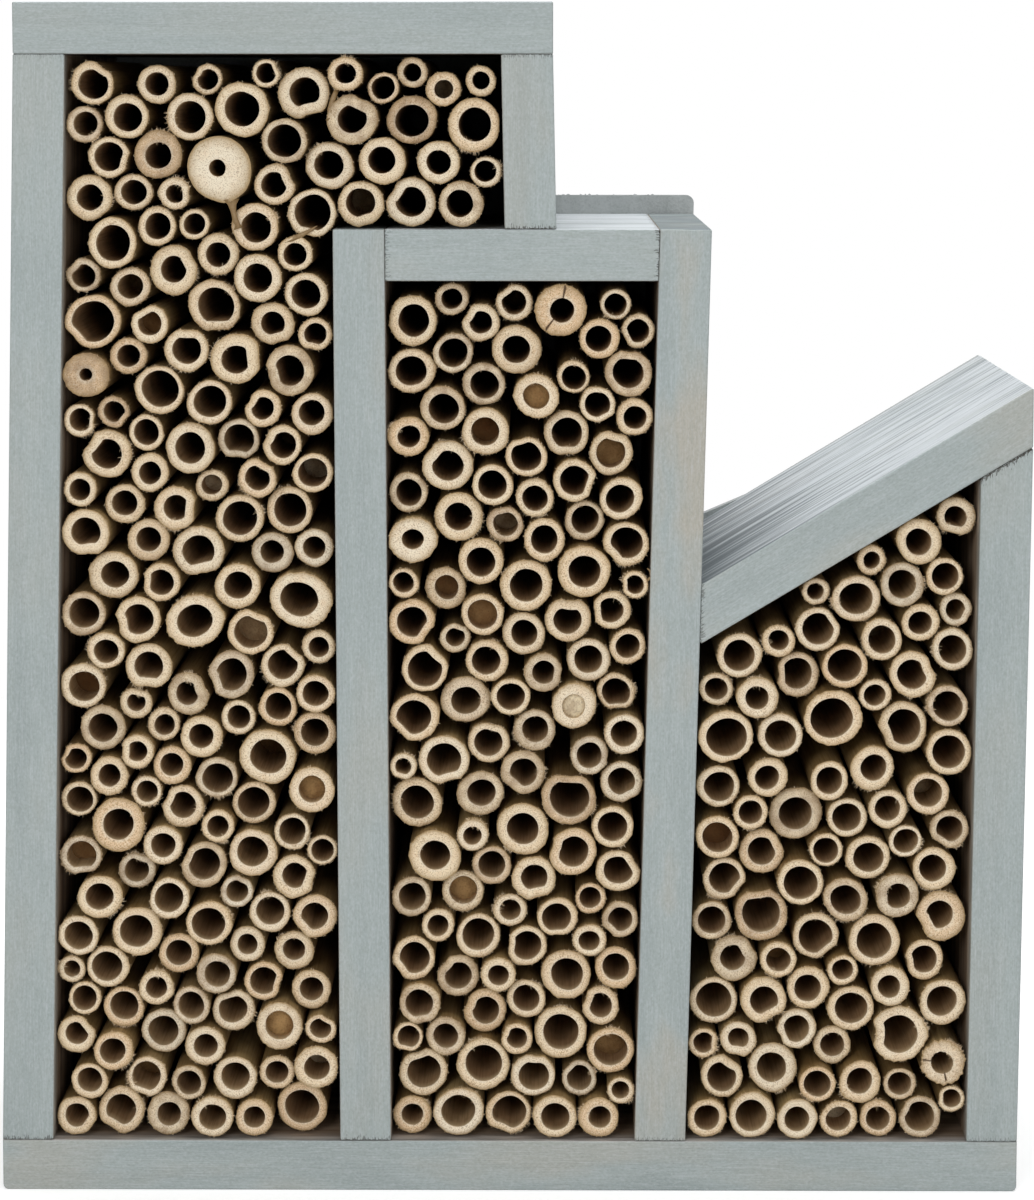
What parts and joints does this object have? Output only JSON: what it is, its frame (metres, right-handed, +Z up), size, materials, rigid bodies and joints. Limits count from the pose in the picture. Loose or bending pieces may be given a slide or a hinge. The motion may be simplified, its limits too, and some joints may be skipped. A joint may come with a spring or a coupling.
{
  "type": "insect hotel",
  "caption": "Three-tower insect hotel: painted wooden frame, open at the front and filled with cut bamboo tubes for solitary bees; it stands on its base or hangs on a wall.",
  "frame": {"origin": "centre of the overall footprint, on the surface that the hotel stands on", "axes": "+Z up, the open front faces -Y, +X to the right as seen from the front"},
  "size_m": [0.3022, 0.1374, 0.35],
  "materials": {
    "painted_wood": "matte blue-grey paint over softwood",
    "painted_panel": "matte grey paint over thin board",
    "bamboo": "natural cane, sawn ends",
    "painted_nail": "painted over with the boards",
    "steel_brad": "bright",
    "zinc_steel": "zinc plated"
  },
  "bodies": {
    "root": {"back_panel": "painted_panel", "base_board": "painted_wood", "broad_ring_tube": "bamboo", "closed_node_tube": "bamboo", "cracked_tube": "bamboo", "divider": "painted_wood", "frame_nails": "painted_nail", "frayed_tube": "bamboo", "great_pale_tube": "bamboo", "hanger_pins": "steel_brad", "hangers": "zinc_steel", "heart_tube": "bamboo", "left_wall": "painted_wood", "middle_post": "painted_wood", "middle_roof": "painted_wood", "middle_tubes_01": "bamboo", "middle_tubes_02": "bamboo", "middle_tubes_03": "bamboo", "middle_tubes_04": "bamboo", "middle_tubes_05": "bamboo", "middle_tubes_06": "bamboo", "middle_tubes_07": "bamboo", "middle_tubes_08": "bamboo", "middle_wide_tubes_1": "bamboo", "oval_ring_tube": "bamboo", "pale_ring_tube": "bamboo", "panel_brads": "steel_brad", "pith_tube": "bamboo", "right_tubes_01": "bamboo", "right_tubes_02": "bamboo", "right_tubes_03": "bamboo", "right_tubes_04": "bamboo", "right_tubes_05": "bamboo", "right_tubes_06": "bamboo", "right_wall": "painted_wood", "right_wide_tubes_1": "bamboo", "short_post": "painted_wood", "slanted_roof": "painted_wood", "solid_tube": "bamboo", "stained_node_tube": "bamboo", "tall_roof": "painted_wood", "tall_tubes_01": "bamboo", "tall_tubes_02": "bamboo", "tall_tubes_03": "bamboo", "tall_tubes_04": "bamboo", "tall_tubes_05": "bamboo", "tall_tubes_06": "bamboo", "tall_tubes_07": "bamboo", "tall_tubes_08": "bamboo", "tall_tubes_09": "bamboo", "tall_tubes_10": "bamboo", "tall_tubes_11": "bamboo", "tall_tubes_12": "bamboo", "tall_wide_tubes_1": "bamboo", "tall_wide_tubes_2": "bamboo", "thick_walled_tube": "bamboo", "wide_brown_tube": "bamboo", "wide_left_tube": "bamboo"}
  },
  "joints": []
}
